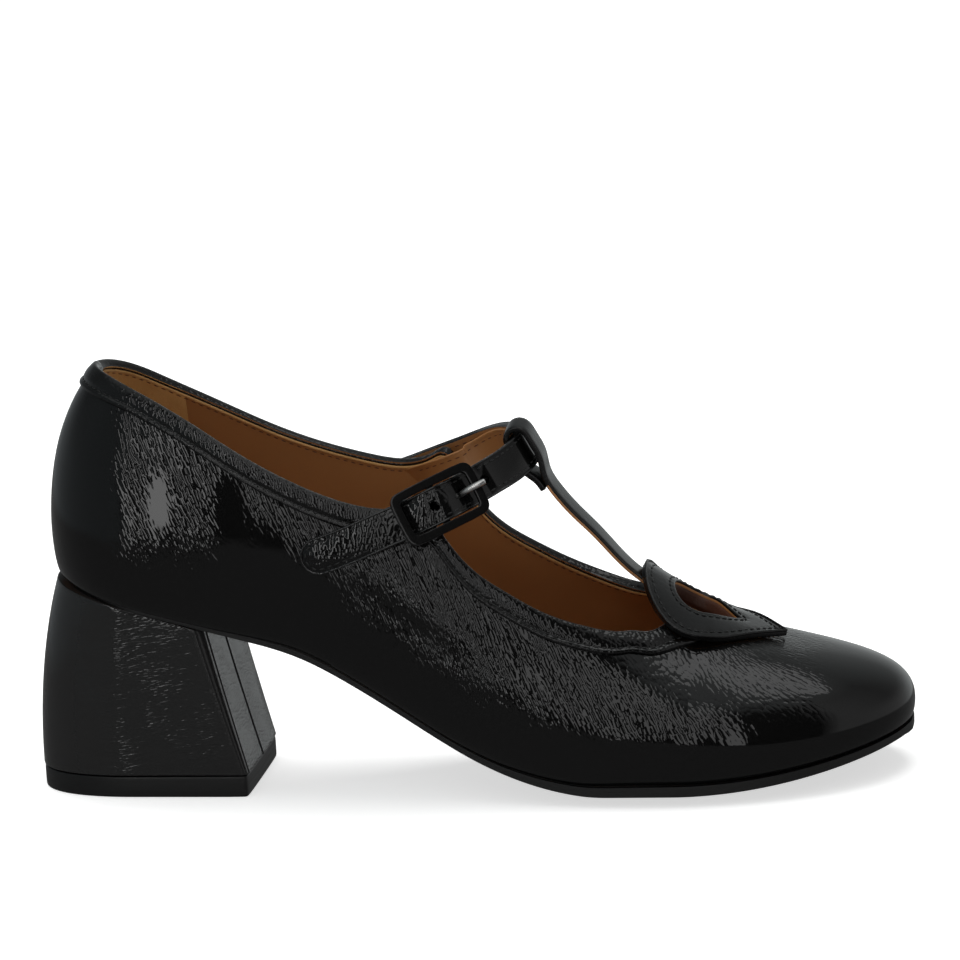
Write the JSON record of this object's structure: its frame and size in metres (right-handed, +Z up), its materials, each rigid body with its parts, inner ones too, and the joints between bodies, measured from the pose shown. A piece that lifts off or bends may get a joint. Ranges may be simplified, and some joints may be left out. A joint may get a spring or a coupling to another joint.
{
  "type": "mary jane pump",
  "caption": "T-strap mary jane pump on a flared block heel: hollow patent upper, topline band, leaf overlay with a keyhole, instep strap in a centre-bar buckle, thin sole.",
  "frame": {"origin": "on the floor, under the middle of the shoe's bounding box", "axes": "+X from the heel to the toe, +Y to the inner side of this right shoe, +Z up"},
  "size_m": [0.245, 0.0806, 0.1197],
  "materials": {
    "patent_leather": "black crinkled patent with a hard gloss coat",
    "heel_cover": "black patent stretched over the heel block",
    "lining_leather": "smooth tan lining leather, satin",
    "sole_rubber": "black sole with a polished edge",
    "top_lift_rubber": "black hard rubber, satin",
    "buckle_enamel": "gloss black enamel",
    "prong_nickel": "bright nickel"
  },
  "bodies": {
    "root": {"outsole": "sole_rubber", "heel_block": "heel_cover", "heel_top_lift": "top_lift_rubber", "insole": "lining_leather", "upper": "patent_leather", "topline_band": "patent_leather", "vamp_overlay": "patent_leather", "t_bar_strap": "patent_leather", "instep_strap": "patent_leather", "buckle_frame": "buckle_enamel", "buckle_prong": "prong_nickel"}
  },
  "joints": []
}
